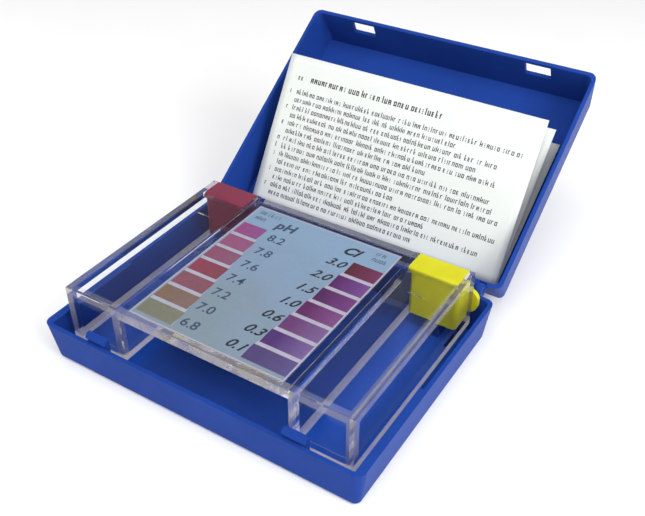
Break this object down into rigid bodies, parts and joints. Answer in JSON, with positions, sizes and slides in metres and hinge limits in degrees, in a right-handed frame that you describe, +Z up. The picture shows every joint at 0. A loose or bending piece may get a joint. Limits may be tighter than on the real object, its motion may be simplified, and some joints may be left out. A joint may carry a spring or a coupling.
{
  "type": "water test kit",
  "caption": "Hinged plastic case holding a clear comparator with stoppered cells and a colour chart, foil strips of tablets and a folded leaflet; the lid is open.",
  "frame": {"origin": "centre of the tray's flat underside", "axes": "+X to the kit's right, +Y towards the hinge, +Z up"},
  "size_m": [0.1, 0.1439, 0.0561],
  "materials": {
    "case_plastic": "satin moulded polypropylene",
    "clear_plastic": "clear moulded polystyrene",
    "chart_film": "printed film",
    "red_plastic": "moulded",
    "yellow_plastic": "moulded",
    "tablet": "pressed powder",
    "foil": "bright foil",
    "paper": "coated paper"
  },
  "bodies": {
    "base": {"case_base": "case_plastic"},
    "lid": {"case_lid": "case_plastic"},
    "comparator": {"comparator_body": "clear_plastic", "colour_chart": "chart_film"},
    "red_stopper": {"red_stopper": "red_plastic"},
    "yellow_stopper": {"yellow_stopper": "yellow_plastic"},
    "phenol_strip": {"phenol_red_lower_foil": "foil", "phenol_red_upper_foil": "foil", "phenol_red_tablets": "tablet"},
    "dpd_strip": {"dpd_lower_foil": "foil", "dpd_upper_foil": "foil", "dpd_tablets": "tablet"},
    "leaflet": {"leaflet_back_panel": "paper"},
    "leaflet_middle": {"leaflet_middle_panel": "paper"},
    "leaflet_front": {"leaflet_front_panel": "paper"}
  },
  "joints": [
    {"name": "lid_hinge", "type": "hinge", "parent": "base", "child": "lid", "pos_m": [0, 0.0386, 0.0132], "axis": [-1, 0, 0], "range_deg": [-145.8, 0]},
    {"name": "comparator_lift", "type": "slide", "parent": "base", "child": "comparator", "axis": [0, 0, 1], "range_m": [0, 0.05]},
    {"name": "red_stopper_lift", "type": "slide", "parent": "comparator", "child": "red_stopper", "axis": [0, 0, 1], "range_m": [0, 0.02]},
    {"name": "yellow_stopper_lift", "type": "slide", "parent": "comparator", "child": "yellow_stopper", "axis": [0, 0, 1], "range_m": [0, 0.02]},
    {"name": "phenol_strip_lift", "type": "slide", "parent": "base", "child": "phenol_strip", "axis": [0, 0, 1], "range_m": [0, 0.014]},
    {"name": "dpd_strip_lift", "type": "slide", "parent": "base", "child": "dpd_strip", "axis": [0, 0, 1], "range_m": [0, 0.014]},
    {"name": "leaflet_lift", "type": "slide", "parent": "lid", "child": "leaflet", "axis": [0, -0.5621, 0.8271], "range_m": [0, 0.025]},
    {"name": "leaflet_middle_tilt", "type": "hinge", "parent": "leaflet", "child": "leaflet_middle", "pos_m": [0, 0.05005, 0.0072], "axis": [1, 0, 0], "range_deg": [-12.01, 0]},
    {"name": "leaflet_front_tilt", "type": "hinge", "parent": "leaflet", "child": "leaflet_front", "pos_m": [0, 0.04972, 0.0077], "axis": [1, 0, 0], "range_deg": [-24.01, 0]}
  ],
  "couplings": [
    {"joint": "leaflet_middle_tilt", "follows": "lid_hinge", "ratio": 0.082305},
    {"joint": "leaflet_front_tilt", "follows": "lid_hinge", "ratio": 0.16461}
  ]
}
